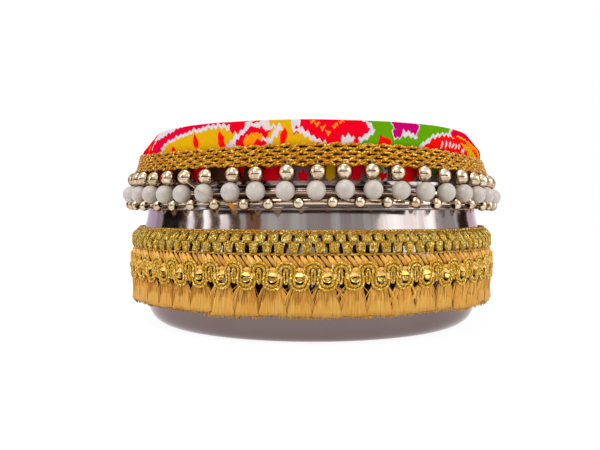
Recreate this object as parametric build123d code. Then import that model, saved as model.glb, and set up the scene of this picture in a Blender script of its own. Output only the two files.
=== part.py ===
from build123d import *
import math
import os

# A round steel box for sweets, dressed for gifting: a deep box with a plain neck, a cap
# lid that slides over the neck and stops on the rim, a padded fabric cover and a woven
# braid on the lid, a fringe of threaded beads, and a lace with tassels round the belly.
#
# Frame: +Z up, the origin is the middle of the flat base, on the surface that it stands
# on, and the front looks towards -Y. Lengths are in millimetres and angles in degrees.

# Steel sheet of the box and the lid
steel_wall = 0.8

# Box: flat base, rounded foot, a wall that leans out to the belly, a shoulder and a neck.
# The neck's radius is the size that the lid fits, and the heights add up from the base.
neck_radius = 84.5
belly_stand_out = 4.6
base_inset = 15.3
foot_round = 10.7
belly_height = 36.5
box_shoulder_rise = 18.6
neck_height = 9.3

# Cap lid: fits over the neck and stops with its sloping ledge on the rim
neck_clearance = 0.5
rim_clearance = 0.3
rim_bite = 0.6
ledge_slope = 24.0
skirt_overlap = 7.4
groove_rise = 1.5
crest_depth = 1.4
ridge_neck_depth = 0.4
ridge_neck_fall = 2.0
roll_depth = 1.6
roll_fall = 4.2
lip_depth = 0.9
lid_side_height = 20.7
shoulder_run = 6.9
shoulder_rise = 9.2

# Padded fabric cover, glued over the lid above a bare steel band, thickest in the middle
cover_thickness = 1.0
cover_clearance = 0.05
cover_softening = 1.6
cover_crown = 2.2
bare_band_height = 12.0

# Woven braid, sewn to the cover at its top edge, and standing out below
braid_width = 8.6
braid_thickness = 1.4
braid_flare = 2.0
braid_below_shoulder = 0.6
braid_clearance = 0.1

# Bead fringe on threads under the braid
gold_bead_radius = 3.5
pearl_radius = 4.0
small_bead_radius = 2.5
pearl_spacing = 12.2
thread_radius = 0.35
gold_stand_out = 1.5
pearl_stand_out = 2.0
bead_clearance = 0.1
small_bead_drop = 5.4
front_pearl_angle = 1.2

# Lace round the belly: a top cord, two rows of tinsel blocks, a cord, slanted silk
# threads, a gimp cord laid in waves with a sequin in each, and a tassel under each wave
lace_below_neck = 6.4
lace_stand_out = 2.4
lace_clearance = 0.3
lace_gap = 0.15
top_cord_size = 2.2
upper_block_drop = 2.3
upper_block_thickness = 1.6
upper_block_width = 3.4
lower_block_height = 4.0
lower_block_thickness = 1.8
lower_block_width = 3.9
mid_cord_size = 1.2
slant_height = 4.6
slant_width = 8.4
slant_thickness = 1.2
slant_lean = 43.0
wave_height = 11.5
wave_above_slants = 2.1
wave_spacing = 11.2
wave_cord_width = 2.3
wave_cord_thickness = 1.1
sequin_radius = 2.2
sequin_thickness = 0.5
tassel_head_width = 3.4
tassel_thickness = 1.2
tassel_head_rise = 2.4
tassel_neck_drop = 0.6
tassel_length = 12.1
tassel_hem_gap = 0.6
tassel_lean_in = 1.2
front_sequin_angle = 4.1
blocks_per_wave = 2

# Flat facets that stand for round forms where there are many, or where they are soft
bead_ring_angle = 26.0
bead_sides = 6
thread_sides = 3
sequin_sides = 4
soft_ring_sides = 72
foot_outer_steps = 3
foot_inner_steps = 2

# Round patterns repeat in fours, so that the part is as wide one way as the other
symmetry_count = 4
full_turn = 360.0
front_direction = -90.0

# Places that follow from the sizes above
belly_radius = neck_radius + belly_stand_out
base_radius = belly_radius - base_inset
neck_foot_height = belly_height + box_shoulder_rise
rim_height = neck_foot_height + neck_height
lid_radius = neck_radius + neck_clearance + steel_wall
hem_height = rim_height - skirt_overlap
shoulder_height = rim_height + lid_side_height
cover_inner_radius = lid_radius + cover_clearance
cover_radius = cover_inner_radius + cover_thickness
cover_edge_height = hem_height + bare_band_height
braid_inner_radius = cover_radius + braid_clearance
braid_top_height = shoulder_height - braid_below_shoulder
braid_low_height = braid_top_height - braid_width
thread_anchor_radius = braid_inner_radius + braid_flare + braid_thickness / 2


def pattern_count(radius, spacing):
    """Copies round a circle at about this spacing, in multiples of the symmetry."""
    return symmetry_count * round(2 * math.pi * radius / spacing / symmetry_count)


def round_copies(shape, count, start_angle):
    """Copies of a shape made on the X axis, evenly round Z, from an angle off the front."""
    step = full_turn / count
    return [Rot(0, 0, front_direction + start_angle + i * step) * shape for i in range(count)]


def facing_out(radius, height):
    """A plane at a point of the X axis that looks outwards, with its own Y upwards."""
    return Plane(origin=(radius, 0, height), x_dir=(0, 1, 0), z_dir=(1, 0, 0))


def arc_points(centre, radius, start_angle, end_angle, steps):
    """Points in even steps along an arc round a centre in the outline's plane."""
    points = []
    for step in range(steps + 1):
        angle = math.radians(start_angle + (end_angle - start_angle) * step / steps)
        points.append((centre[0] + radius * math.cos(angle), centre[1] + radius * math.sin(angle)))
    return points


def turned(outline):
    """A steel solid of revolution from the corners of its section, (radius, height)."""
    section = make_face(Plane.XZ * Polyline(*outline, close=True))
    return revolve(section, Axis.Z)


def facet_solid(polygons):
    """A closed solid from the corner lists of its flat facets."""
    return Solid(Shell([Face(Wire.make_polygon(corners)) for corners in polygons]))


def facet_turned(outline, sides):
    """A closed section, (radius, height), turned round Z in straight sides."""
    step = full_turn / sides
    polygons = []
    for start, end in zip(outline, outline[1:] + outline[:1]):
        for side in range(sides):
            angles = (step * side, step * (side + 1))
            corners = []
            for (radius, height), turns in ((start, angles), (end, angles[::-1])):
                corner = Vector(radius, 0, height)
                corners += [corner.rotate(Axis.Z, turn) for turn in (turns if radius else turns[:1])]
            if len(corners) > 2:
                polygons.append(corners)
    return facet_solid(polygons)


def soft_ring(outline, sides):
    """A ring whose flats, and not its corners, lie on the outline, clear of what it is round."""
    outward = 1 / math.cos(math.pi / sides)
    return facet_turned([(radius * outward, height) for radius, height in outline], sides)


def facet_loft(rings):
    """Rings with the same number of corners, joined straight and closed at both ends."""
    polygons = [rings[0], rings[-1]]
    for low, high in zip(rings, rings[1:]):
        for index in range(len(low)):
            polygons.append([low[index - 1], low[index], high[index], high[index - 1]])
    return facet_solid(polygons)


def box_shoulder_radius(height):
    """Outer radius of the box between the belly and the neck's foot, at a height."""
    share = (height - belly_height) / box_shoulder_rise
    return belly_radius - share * belly_stand_out


def foot_end_angle():
    """How far above level the foot's round ends, where the wall to the belly is tangent to it."""
    to_belly = (belly_radius - base_radius, belly_height - foot_round)
    reach = math.hypot(*to_belly)
    return math.degrees(math.atan2(to_belly[1], to_belly[0]) - math.acos(foot_round / reach))


def body_shell():
    """The drawn steel box, open at the top."""
    foot_centre = (base_radius, foot_round)
    wall = steel_wall
    outer = [
        (0, 0),
        *arc_points(foot_centre, foot_round, -90, foot_end_angle(), foot_outer_steps),
        (belly_radius, belly_height),
        (neck_radius, neck_foot_height),
        (neck_radius, rim_height),
    ]
    inner = [
        (0, wall),
        *arc_points(foot_centre, foot_round - wall, -90, foot_end_angle(), foot_inner_steps),
        (belly_radius - wall, belly_height),
        (neck_radius - wall, neck_foot_height),
        (neck_radius - wall, rim_height),
    ]
    return turned(outer + inner[::-1])


def lid_shell():
    """The pressed steel lid, open below: crown, shoulder, groove, two ridges and a lip."""
    slope = math.tan(math.radians(ledge_slope))
    wall_up_ledge = steel_wall * math.hypot(1, slope)
    inner_radius = lid_radius - steel_wall
    groove_inner_radius = neck_radius - rim_bite
    groove_radius = groove_inner_radius + steel_wall
    crest_radius = lid_radius + crest_depth
    seat_height = rim_height + rim_clearance
    groove_height = seat_height + wall_up_ledge - (groove_radius - neck_radius) * slope
    groove_inner_height = seat_height + rim_bite * slope
    crest_height = seat_height + wall_up_ledge - (crest_radius - neck_radius) * slope
    crown_edge = (lid_radius - shoulder_run, shoulder_height + shoulder_rise)
    outer = [
        (0, crown_edge[1]),
        crown_edge,
        (lid_radius, shoulder_height),
        (lid_radius, groove_height + groove_rise),
        (groove_radius, groove_height),
        (crest_radius, crest_height),
        (lid_radius + ridge_neck_depth, crest_height - ridge_neck_fall),
        (lid_radius + roll_depth, crest_height - roll_fall),
        (lid_radius + lip_depth, hem_height),
    ]
    inner = [
        (0, crown_edge[1] - steel_wall),
        (crown_edge[0] - steel_wall / 2, crown_edge[1] - steel_wall),
        (inner_radius, shoulder_height - steel_wall / 2),
        (inner_radius, groove_height + groove_rise + steel_wall / 2),
        (groove_inner_radius, groove_inner_height),
        (inner_radius, seat_height - neck_clearance * slope),
        (inner_radius, hem_height),
    ]
    return turned(outer + inner[::-1])


def lid_cover():
    """Padded fabric over the crown, the shoulder and most of the side of the lid."""
    slope_length = math.hypot(shoulder_run, shoulder_rise)
    across = (shoulder_rise / slope_length, shoulder_run / slope_length)
    along = (-across[1], across[0])
    crown_edge = (cover_inner_radius - shoulder_run, shoulder_height + shoulder_rise)
    shoulder_out = (
        crown_edge[0] + across[0] * cover_thickness,
        crown_edge[1] + across[1] * cover_thickness,
    )
    side_out = (cover_radius, shoulder_height - along[0] * cover_thickness / 2)
    soft = cover_softening
    outline = [
        (0, crown_edge[1] + cover_clearance),
        (crown_edge[0], crown_edge[1] + cover_clearance),
        (cover_inner_radius, shoulder_height + cover_clearance),
        (cover_inner_radius, cover_edge_height),
        (cover_radius, cover_edge_height),
        (cover_radius, side_out[1] - soft),
        (cover_radius + along[0] * soft, side_out[1] + along[1] * soft),
        (shoulder_out[0] - along[0] * soft, shoulder_out[1] - along[1] * soft),
        (crown_edge[0] - soft, crown_edge[1] + cover_thickness + cover_clearance),
        (0, crown_edge[1] + cover_crown + cover_thickness + cover_clearance),
    ]
    return soft_ring(outline, soft_ring_sides)


def lid_braid():
    """The woven band, a strip that leans outwards as it goes down."""
    inner = [
        (braid_inner_radius, braid_top_height),
        (braid_inner_radius + braid_flare, braid_low_height),
    ]
    outer = [(radius + braid_thickness, height) for radius, height in inner]
    return soft_ring(inner + outer[::-1], soft_ring_sides)


def bead(radius):
    """A round bead in flat facets, with a ring of corners each side of its middle."""
    ring_angle = math.radians(bead_ring_angle)
    ring = (radius * math.cos(ring_angle), radius * math.sin(ring_angle))
    outline = [(0, -radius), (ring[0], -ring[1]), ring, (0, radius)]
    return facet_turned(outline, bead_sides)


def thread_run(start, start_radius, end, end_radius):
    """The straight thread that shows between two beads at these centres."""
    direction = (end - start).normalized()
    begin = start + direction * (start_radius + bead_clearance)
    finish = end - direction * (end_radius + bead_clearance)
    section = Plane(origin=begin, z_dir=direction) * RegularPolygon(thread_radius, thread_sides)
    return extrude(section, (finish - begin).length, dir=direction)


def bead_fringe():
    """Gold beads, the pearls under them, small beads between the pearls, and threads."""
    gold_radius_out = thread_anchor_radius + gold_stand_out
    gold_height = braid_low_height - bead_clearance - gold_bead_radius
    pearl_radius_out = gold_radius_out + pearl_stand_out
    reach = gold_bead_radius + pearl_radius + bead_clearance
    pearl_height = gold_height - math.sqrt(reach**2 - pearl_stand_out**2)
    count = pattern_count(pearl_radius_out, pearl_spacing)
    half_step = full_turn / count / 2

    pearl_centre = Vector(pearl_radius_out, 0, pearl_height)
    small_centre = Vector(pearl_radius_out, 0, pearl_height - small_bead_drop)
    small_centres = [small_centre.rotate(Axis.Z, turn) for turn in (-half_step, half_step)]
    gold = Pos(gold_radius_out, 0, gold_height) * bead(gold_bead_radius)
    pearl = Pos(pearl_centre) * bead(pearl_radius)
    small = Pos(small_centre) * Rot(90, 0, 0) * bead(small_bead_radius)
    threads = Compound(
        children=[
            thread_run(pearl_centre, pearl_radius, centre, small_bead_radius)
            for centre in small_centres
        ]
    )
    small_start = front_pearl_angle + half_step
    return {
        "gold_beads": round_copies(gold, count, front_pearl_angle),
        "pearl_beads": round_copies(pearl, count, front_pearl_angle),
        "small_gold_beads": round_copies(small, count, small_start),
        "bead_threads": round_copies(threads, count, front_pearl_angle),
    }


def lace_ring(inner_radius, thickness, low, height, sides):
    """A cord of the lace as a ring of straight sides."""
    outer_radius = inner_radius + thickness
    inner = [(inner_radius, low), (inner_radius, low + height)]
    return soft_ring(inner + [(outer_radius, low + height), (outer_radius, low)], sides)


def slab(outline, inner_radius, thickness):
    """An outline drawn across and up, made this thick outwards from a radius."""
    face = make_face(Polyline(*outline, close=True))
    return extrude(facing_out(inner_radius, 0) * face, thickness)


def wave_outline(low, spacing):
    """One wave of the gimp cord: the U round a sequin and half of each arch beside it."""
    foot = spacing / 4
    high = low + wave_height
    right = [
        (foot - wave_cord_width / 2, low + wave_cord_width),
        (spacing / 2, high),
        (spacing / 2, high - wave_cord_width),
        (foot, low),
    ]
    return right + [(-across, up) for across, up in reversed(right)]


def tassel(head_radius, head_top, neck_height, hem, hem_width):
    """One tassel: a bound head and a skirt of threads that fans out and leans in."""
    sections = [
        (head_radius, head_top, tassel_head_width),
        (head_radius, neck_height, tassel_head_width),
        (head_radius - tassel_lean_in, hem, hem_width),
    ]
    half = tassel_thickness / 2
    rings = []
    for radius, height, width in sections:
        corners = [(-half, -width / 2), (half, -width / 2), (half, width / 2), (-half, width / 2)]
        rings.append([Vector(radius + out, across, height) for out, across in corners])
    return facet_loft(rings)


def lace():
    """The lace and its tassels, by node, from the top cord down."""
    cord_low = neck_foot_height - lace_below_neck - top_cord_size
    cord_inner = box_shoulder_radius(cord_low) + lace_clearance
    cord_outer = cord_inner + top_cord_size
    face_radius = belly_radius + lace_stand_out

    slope = math.atan2(face_radius - cord_outer, upper_block_drop)
    upper_length = math.hypot(face_radius - cord_outer, upper_block_drop) - lace_gap
    upper_radius = face_radius - upper_length * math.sin(slope) / 2
    upper_height = cord_low - upper_block_drop + upper_length * math.cos(slope) / 2
    upper_half_height = (
        upper_length * math.cos(slope) + upper_block_thickness * math.sin(slope)
    ) / 2

    lower_top = upper_height - upper_half_height - lace_gap
    mid_top = lower_top - lower_block_height - lace_gap
    slant_top = mid_top - mid_cord_size - lace_gap
    slant_low = slant_top - slant_height
    slant_inner = face_radius - slant_thickness / 2
    wave_top = slant_low + wave_above_slants
    wave_low = wave_top - wave_height
    wave_inner = slant_inner + slant_thickness + lace_gap
    sequin_inner = wave_inner + wave_cord_thickness + lace_gap

    waves = pattern_count(wave_inner, wave_spacing)
    spacing = 2 * math.pi * wave_inner / waves
    blocks = waves * blocks_per_wave
    half_block = full_turn / blocks / 2

    upper_place = Pos(upper_radius, 0, upper_height) * Rot(0, -math.degrees(slope), 0)
    upper_block = upper_place * Box(upper_block_thickness, upper_block_width, upper_length)
    lower_block = Pos(face_radius, 0, lower_top - lower_block_height / 2) * Box(
        lower_block_thickness, lower_block_width, lower_block_height
    )
    lean = slant_height * math.tan(math.radians(slant_lean)) / 2
    half_slant = slant_width / 2
    slant_outline = [
        (-lean - half_slant, slant_top),
        (-lean + half_slant, slant_top),
        (lean + half_slant, slant_low),
        (lean - half_slant, slant_low),
    ]
    sequin_face = facing_out(sequin_inner, (wave_low + wave_top) / 2)
    sequin = extrude(sequin_face * RegularPolygon(sequin_radius, sequin_sides), sequin_thickness)
    one_tassel = tassel(
        slant_inner + slant_thickness / 2,
        wave_low + tassel_head_rise,
        wave_low - tassel_neck_drop,
        wave_low - tassel_length,
        spacing - tassel_hem_gap,
    )
    top_cord = lace_ring(cord_inner, top_cord_size, cord_low, top_cord_size, waves)
    mid_cord = lace_ring(slant_inner, slant_thickness, mid_top - mid_cord_size, mid_cord_size, waves)
    slant = slab(slant_outline, slant_inner, slant_thickness)
    wave = slab(wave_outline(wave_low, spacing), wave_inner, wave_cord_thickness)
    start = front_sequin_angle
    return {
        "lace_top_cord": [top_cord],
        "lace_upper_blocks": round_copies(upper_block, blocks, start),
        "lace_lower_blocks": round_copies(lower_block, blocks, start + half_block),
        "lace_mid_cord": [mid_cord],
        "lace_silk_slants": round_copies(slant, waves, start),
        "lace_gimp_waves": round_copies(wave, waves, start),
        "lace_sequins": round_copies(sequin, waves, start),
        "tassels": round_copies(one_tassel, waves, start),
    }


def main():
    """Make every node and write each one to its own file."""
    nodes = {
        "body_shell": [body_shell()],
        "lid_shell": [lid_shell()],
        "lid_cover": [lid_cover()],
        "lid_braid": [lid_braid()],
    }
    nodes.update(bead_fringe())
    nodes.update(lace())
    os.makedirs("parts", exist_ok=True)
    for name, shapes in nodes.items():
        solids = [solid for shape in shapes for solid in shape.solids()]
        export_step(Compound(children=solids), os.path.join("parts", name + ".step"))
        print(name, len(solids), "solids")


main()
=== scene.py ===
import math
from functools import partialmethod

import bpy
import numpy as np
from mathutils import Euler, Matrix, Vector


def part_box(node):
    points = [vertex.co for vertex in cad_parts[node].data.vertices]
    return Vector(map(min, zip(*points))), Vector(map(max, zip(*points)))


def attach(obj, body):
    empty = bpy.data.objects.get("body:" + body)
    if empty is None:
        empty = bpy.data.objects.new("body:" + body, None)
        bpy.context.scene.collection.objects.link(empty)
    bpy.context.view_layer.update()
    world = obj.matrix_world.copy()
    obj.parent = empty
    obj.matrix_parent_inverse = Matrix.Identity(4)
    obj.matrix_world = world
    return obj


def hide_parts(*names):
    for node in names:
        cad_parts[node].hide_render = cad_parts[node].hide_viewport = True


# Looks of a round steel sweet box in its gift dress. Shapes are worked out in millimetres in
# the CAD frame (+Z up, the front towards -Y) and scaled to metres when a piece is made.
# Angles round the box are in degrees from the front, growing to the right.

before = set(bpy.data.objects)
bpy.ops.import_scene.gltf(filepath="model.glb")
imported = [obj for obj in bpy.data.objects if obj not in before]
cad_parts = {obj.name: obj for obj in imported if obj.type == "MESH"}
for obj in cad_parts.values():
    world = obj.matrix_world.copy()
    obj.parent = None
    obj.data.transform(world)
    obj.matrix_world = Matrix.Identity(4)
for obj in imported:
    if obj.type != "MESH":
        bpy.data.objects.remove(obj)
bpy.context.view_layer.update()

MM = 0.001
random = np.random.default_rng(7)
vary = random.uniform


def widest(node):
    """Largest radius of a CAD node in millimetres."""
    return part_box(node)[1][0] / MM


def heights(node):
    """Lowest and highest place of a CAD node in millimetres."""
    low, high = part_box(node)
    return low[2] / MM, high[2] / MM


def middle_height(node):
    return sum(heights(node)) / 2


# Camera, from the photograph: distance from the box's axis, height and the way it is turned
camera_distance = 388.0
camera_height = 57.5
camera_lens = 43.8
camera_tilt_down = 1.295
camera_turn_left = 0.863

# Steel box and lid, as in the CAD model
steel_wall = 0.8
belly_radius = widest("body_shell")
belly_height = 36.5
belly_round = 16.0
rim_height = heights("body_shell")[1]
rim_round = 0.35
neck_radius = 84.5
neck_foot_height = 55.1
neck_foot_round = 23.0
foot_corner_radius = 82.8
foot_round = 10.7
lid_radius = 85.8
crown_edge_radius = 78.9
shoulder_height = 85.1
hem_height, lid_top = heights("lid_shell")
groove_radius = 84.7
groove_height = 65.5
crest_radius = 87.2
crest_height = 64.4
ridge_neck_radius = 86.2
ridge_neck_height = 62.4
roll_radius = widest("lid_shell")
roll_height = 60.2
lip_radius = 86.7

# Padded cover
cover_radius = 86.85
cover_edge_height, cover_top = heights("lid_cover")
cover_side_top = 86.0
cover_thickness = 0.55
cover_sides = 288
cover_ripple = 0.22
crown_slack = 0.026
slack_edge = 79.5

# Braid
braid_inner_radius = 87.0
braid_flare = 2.0
braid_rows = 6
braid_eyes = 160
braid_lay = 0.33
braid_ply = 0.50
braid_twists = 98
braid_top_line = 84.7
braid_bottom_line = 75.0

# The braid and the fringe are sewn on by hand: they sag between three high places, and hang
# lower on the right
sag_depth = 0.95
sag_turns = 3
sag_high_angle = 16.0
droop_depth = 2.6
bottom_sag_share = 0.2

# Bead fringe
bead_columns = 48
front_pearl_angle = 1.2
gold_ring = 91.15
gold_height = middle_height("gold_beads")
gold_radius = 3.5
pearl_ring = 93.15
pearl_height = middle_height("pearl_beads")
pearl_radius = 4.0
small_height = middle_height("small_gold_beads")
small_radius = 2.5
thread_radius = 0.17
bead_loop_radius = 0.22
fuzz_strands = 26

# Lace: heights of its rows from the CAD nodes
wave_count = 52
front_sequin_angle = 4.1
blocks_per_wave = 2
slants_per_wave = 4
face_radius = 91.5
top_cord_height = middle_height("lace_top_cord")
top_cord_radius = 88.4
upper_block_height = middle_height("lace_upper_blocks")
lower_block_height = middle_height("lace_lower_blocks")
mid_cord_height = middle_height("lace_mid_cord")
cord_steps = 1040
cord_twists = 150
slant_low, slant_high = heights("lace_silk_slants")
wave_low, wave_high = heights("lace_gimp_waves")
wave_radius = 92.8
wave_lean = 1.35
wave_strand_gap = 0.76
gimp_lay = 0.28
gimp_ply = 0.44
gimp_twists = 9
loop_height = 29.9
loop_half_height = 3.0
loop_half_width = 0.72
sequin_height = middle_height("lace_sequins")
sequin_radius = 2.2
sequin_leaf_radius = 1.25
tassel_low, tassel_top = heights("tassels")
tassel_head_width = 6.5
tassel_strands = 140
tassel_wisps = 11
tassel_strand_radius = 0.19


def sag(angle):
    """How far the sewn trim of the lid hangs below its highest place."""
    return -sag_depth * (1 - np.cos(np.radians(sag_turns * (angle - sag_high_angle))))


def droop(angle):
    """How far the trim and the padding hang lower on the right, where the cover is slack."""
    return -droop_depth * np.maximum(np.sin(np.radians(angle)), 0) ** 2.5


def wave_angle(wave):
    return front_sequin_angle + wave * 360 / wave_count


# Points and paths

def unit(vectors):
    return vectors / np.maximum(np.linalg.norm(vectors, axis=-1, keepdims=True), 1e-9)


def around(radius, angle, height):
    """Points at a radius, an angle from the front and a height."""
    turn = np.radians(angle)
    return np.stack(np.broadcast_arrays(radius * np.sin(turn), -radius * np.cos(turn), height), -1)


def angle_of(points):
    return np.degrees(np.arctan2(points[:, 0], -points[:, 1]))


def once_round(count, whole=360):
    """Even steps round a circle, in degrees or in another measure of the whole turn."""
    return whole * np.arange(count) / count


def ripple(angle, height, seed):
    """Slow uneven waves of the cloth and the cords round the box, in shares of one."""
    total = 0
    for index, turns in enumerate((9, 14, 23, 37, 61)):
        phase = seed * 1.7 + index * 2.1
        total = total + np.sin(np.radians(angle) * turns + phase + height * 0.05 * index) / (index + 1.5)
    return total / 2


def path_frame(path, closed):
    """Unit vectors across a path: along the box's side, and outwards from it."""
    ahead = unit(np.roll(path, -1, 0) - np.roll(path, 1, 0) if closed else np.gradient(path, axis=0))
    outward = unit(path * (1, 1, 0))
    outward = unit(outward - np.sum(outward * ahead, -1, keepdims=True) * ahead)
    return np.cross(ahead, outward), outward


# Meshes: a shape is its points and groups of faces

def grid_quads(rows, columns, rows_closed=False):
    """Faces of a grid of points whose rows are rings. The last row joins the first as asked."""
    here = np.arange(rows * columns).reshape(rows, columns)
    above = np.roll(here, -1, 0)
    quads = np.stack([here, above, np.roll(above, -1, 1), np.roll(here, -1, 1)], -1)
    return quads[: rows if rows_closed else rows - 1].reshape(-1, 4)


def tube(path, wide, deep=None, sides=6, closed=False):
    """A tube along a path; wide and deep are its half sizes along and out of the box's side."""
    path = np.asarray(path, float)
    count = len(path)
    sideways, outward = path_frame(path, closed)
    turn = once_round(sides, 2 * np.pi)[None, :, None]
    wide = np.broadcast_to(wide, count)[:, None, None]
    deep = wide if deep is None else np.broadcast_to(deep, count)[:, None, None]
    rings = path[:, None] + wide * np.cos(turn) * sideways[:, None] + deep * np.sin(turn) * outward[:, None]
    ends = [] if closed else [np.arange(sides)[None], np.arange(count * sides)[-sides:][::-1][None]]
    return rings.reshape(-1, 3), [grid_quads(count, sides, rows_closed=closed), *ends]


def small_tube(x, y, z, *half_sizes, sides=6):
    """A tube near the axis. It is built far in front, so that its outwards is towards -Y."""
    points, faces = tube(np.stack([x, y - 1000, z], -1), *half_sizes, sides=sides)
    return points + (0, 1000, 0), faces


def thread(stations, radius, sides=6):
    """A thin tube through stations of radius, angle and height."""
    return tube([around(*station) for station in stations], radius, sides=sides)


def ring_stack(x, y, z, inside_out=False):
    """A closed body from rings of points, one above the other."""
    rows, sides = x.shape
    quads, first = grid_quads(rows, sides), np.arange(sides)[None]
    last = first + (rows - 1) * sides
    if inside_out:
        groups = [quads[:, ::-1], first[:, ::-1], last]
    else:
        groups = [quads, first, last[:, ::-1]]
    return np.stack([x, y, z], -1).reshape(-1, 3), groups


def lathe(profile, sides=216):
    """A section, (radius, height), turned round Z. It runs from axis to axis, or closes."""
    profile = np.asarray(profile, float)
    on_axis = profile[0][0] == 0
    ring = profile[1:-1] if on_axis else profile
    points = around(ring[:, :1], once_round(sides)[None], ring[:, 1:]).reshape(-1, 3)
    faces = [grid_quads(len(ring), sides, rows_closed=not on_axis)[:, ::-1]]
    if on_axis:
        first, low = np.arange(sides), len(points)
        last = first + low - sides
        faces.append(np.stack([np.roll(first, -1), first, np.full(sides, low)], -1))
        faces.append(np.stack([last, np.roll(last, -1), np.full(sides, low + 1)], -1))
        points = np.concatenate([points, [(0, 0, profile[0][1]), (0, 0, profile[-1][1])]])
    return points, faces


def rounded(corners, step=9.0):
    """Corners, (radius, height, fillet), joined straight with an arc at each fillet."""
    made = []
    for index, (radius, height, fillet) in enumerate(corners):
        corner = np.array((radius, height), float)
        if not fillet:
            made.append(corner)
            continue
        back = unit(np.array(corners[index - 1][:2]) - corner)
        on = unit(np.array(corners[(index + 1) % len(corners)][:2]) - corner)
        half = math.acos(np.clip(back @ on, -1, 1)) / 2
        centre = corner + unit(back + on) * fillet / math.sin(half)
        start = corner + back * fillet / math.tan(half) - centre
        end = corner + on * fillet / math.tan(half) - centre
        sweep = math.pi - 2 * half
        for share in np.linspace(0, 1, max(3, round(math.degrees(sweep) / step) + 1)):
            blend = math.sin((1 - share) * sweep) * start + math.sin(share * sweep) * end
            made.append(centre + blend / math.sin(sweep))
    return made


def spread(profile, step):
    """The same profile with points at most this far apart."""
    made = [profile[0]]
    for start, end in zip(profile, profile[1:]):
        pieces = max(1, math.ceil(math.dist(start, end) / step))
        made += [start + (np.array(end) - start) * k / pieces for k in range(1, pieces + 1)]
    return made


def turned_to(angle, roll=(0, 0, 0)):
    """A turn that carries the front to an angle round the box, after a roll in degrees."""
    own = Euler([math.radians(value) for value in roll]).to_matrix()
    return np.array(Euler((0, 0, math.radians(angle))).to_matrix() @ own)


class Shapes:
    """Many small shapes that become one piece. A tint is the place of a material."""

    def __init__(self):
        self.points, self.faces, self.tints, self.total = [], [], [], 0

    def add(self, shape, turn=None, place=(0, 0, 0), tint=0):
        points, faces = shape
        self.tints += tint if isinstance(tint, list) else [tint] * sum(len(group) for group in faces)
        if turn is not None:
            points = points @ np.array(turn).T
        self.points.append(points + np.array(place))
        self.faces += [(np.array(group) + self.total).tolist() for group in faces if len(group)]
        self.total += len(points)

    def add_cord(self, path, lay_radius, ply_radius, twists, sides=5):
        """Two plies twisted round a closed path."""
        sideways, outward = path_frame(path, True)
        for start in (0, 0.5):
            turn = 2 * np.pi * (once_round(len(path), 1) * twists + start)
            lay = np.cos(turn)[:, None] * sideways + np.sin(turn)[:, None] * outward
            self.add(tube(path + lay * lay_radius, ply_radius, sides=sides, closed=True))

    def merged(self):
        return np.concatenate(self.points), [face for group in self.faces for face in group]


def make_piece(name, shapes, body, nodes, slot, *materials):
    """A smooth mesh piece that rides on a body and stands for CAD nodes."""
    points, faces = shapes.merged() if isinstance(shapes, Shapes) else (
        shapes[0], [face for group in shapes[1] for face in group.tolist()])
    mesh = bpy.data.meshes.new(name)
    mesh.from_pydata((points * MM).tolist(), [], faces)
    mesh.shade_smooth()
    for material in materials:
        mesh.materials.append(material)
    if len(materials) > 1:
        mesh.polygons.foreach_set("material_index", shapes.tints)
    piece = bpy.data.objects.new(name, mesh)
    bpy.context.scene.collection.objects.link(piece)
    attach(piece, body)
    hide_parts(*nodes)
    return piece


# Materials

def join(tree, socket, value):
    """Give a socket a number or colour of its own, or link a field to it."""
    if isinstance(value, Field):
        tree.links.new(value.socket, socket)
    else:
        socket.default_value = (*value, 1) if socket.type == "RGBA" else value


def add_node(tree, kind, inputs=(), **settings):
    made = tree.nodes.new("ShaderNode" + kind)
    for key, value in settings.items():
        setattr(made, key, value)
    for key, value in dict(inputs).items():
        join(tree, made.inputs[key], value)
    return made


class Field:
    """What a node gives out. Where it is a number, it takes the usual arithmetic."""

    def __init__(self, tree, socket):
        self.tree, self.socket = tree, socket

    def calc(self, operation, other=0.0, swap=False):
        inputs = {0: other, 1: self} if swap else {0: self, 1: other}
        return Field(self.tree, add_node(self.tree, "Math", inputs, operation=operation).outputs[0])

    __add__ = partialmethod(calc, "ADD")
    __sub__ = partialmethod(calc, "SUBTRACT")
    __rsub__ = partialmethod(calc, "SUBTRACT", swap=True)
    __mul__ = partialmethod(calc, "MULTIPLY")
    __truediv__ = partialmethod(calc, "DIVIDE")
    __pow__ = partialmethod(calc, "POWER")
    __lt__ = partialmethod(calc, "LESS_THAN")
    __gt__ = partialmethod(calc, "GREATER_THAN")
    __abs__ = partialmethod(calc, "ABSOLUTE")

    def ramp(self, low, high, to_low=0.0, to_high=1.0):
        inputs = {0: self, 1: low, 2: high, 3: to_low, 4: to_high}
        return Field(self.tree, add_node(self.tree, "MapRange", inputs).outputs[0])


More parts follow.
